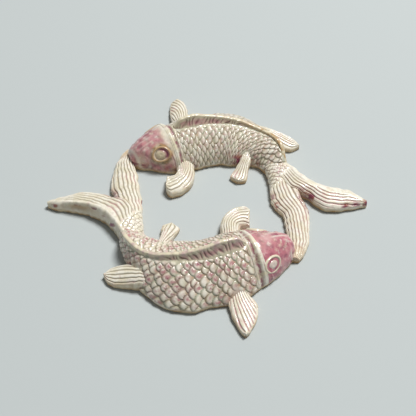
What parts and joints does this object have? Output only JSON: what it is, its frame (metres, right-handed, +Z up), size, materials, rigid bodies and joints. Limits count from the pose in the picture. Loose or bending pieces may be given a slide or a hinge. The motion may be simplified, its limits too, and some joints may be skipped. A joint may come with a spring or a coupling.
{
  "type": "fish figurine",
  "caption": "Glazed ceramic figurine of koi chasing each other round an open ring, with scaled bodies, raised dorsal fins and ridged tail lobes, for display lying flat.",
  "frame": {"origin": "centre of the ring, on the surface that the figurine lies on", "axes": "+Z up from the table; +X to the viewer's right, the way the front koi's head points; +Y away from the viewer, from the front koi to the rear koi"},
  "size_m": [0.2287, 0.2246, 0.0342],
  "materials": {
    "front_koi_scale_glaze": "soft gloss glaze",
    "front_koi_head_glaze": "soft gloss glaze",
    "front_koi_gill_glaze": "soft gloss glaze",
    "front_koi_dorsal_glaze": "soft gloss glaze",
    "front_koi_eye_glaze": "soft gloss glaze",
    "front_koi_fin_glaze": "soft gloss glaze",
    "front_koi_tail_glaze": "soft gloss glaze",
    "rear_koi_scale_glaze": "soft gloss glaze",
    "rear_koi_head_glaze": "soft gloss glaze",
    "rear_koi_gill_glaze": "soft gloss glaze",
    "rear_koi_dorsal_glaze": "soft gloss glaze",
    "rear_koi_eye_glaze": "soft gloss glaze",
    "rear_koi_fin_glaze": "soft gloss glaze",
    "rear_koi_tail_glaze": "soft gloss glaze"
  },
  "bodies": {
    "root": {"front_koi_body": "front_koi_scale_glaze", "front_koi_gill_collar": "front_koi_gill_glaze", "front_koi_head": "front_koi_head_glaze", "front_koi_dorsal_fin": "front_koi_dorsal_glaze", "front_koi_outer_eye": "front_koi_eye_glaze", "front_koi_inner_eye": "front_koi_eye_glaze", "front_koi_outer_pectoral_fin": "front_koi_fin_glaze", "front_koi_inner_pectoral_fin": "front_koi_fin_glaze", "front_koi_outer_pelvic_fin": "front_koi_fin_glaze", "front_koi_inner_pelvic_fin": "front_koi_fin_glaze", "front_koi_tail_ring_lobe": "front_koi_tail_glaze", "front_koi_tail_free_lobe": "front_koi_tail_glaze", "rear_koi_body": "rear_koi_scale_glaze", "rear_koi_gill_collar": "rear_koi_gill_glaze", "rear_koi_head": "rear_koi_head_glaze", "rear_koi_dorsal_fin": "rear_koi_dorsal_glaze", "rear_koi_outer_eye": "rear_koi_eye_glaze", "rear_koi_inner_eye": "rear_koi_eye_glaze", "rear_koi_outer_pectoral_fin": "rear_koi_fin_glaze", "rear_koi_inner_pectoral_fin": "rear_koi_fin_glaze", "rear_koi_outer_pelvic_fin": "rear_koi_fin_glaze", "rear_koi_inner_pelvic_fin": "rear_koi_fin_glaze", "rear_koi_tail_ring_lobe": "rear_koi_tail_glaze", "rear_koi_tail_free_lobe": "rear_koi_tail_glaze"}
  },
  "joints": []
}
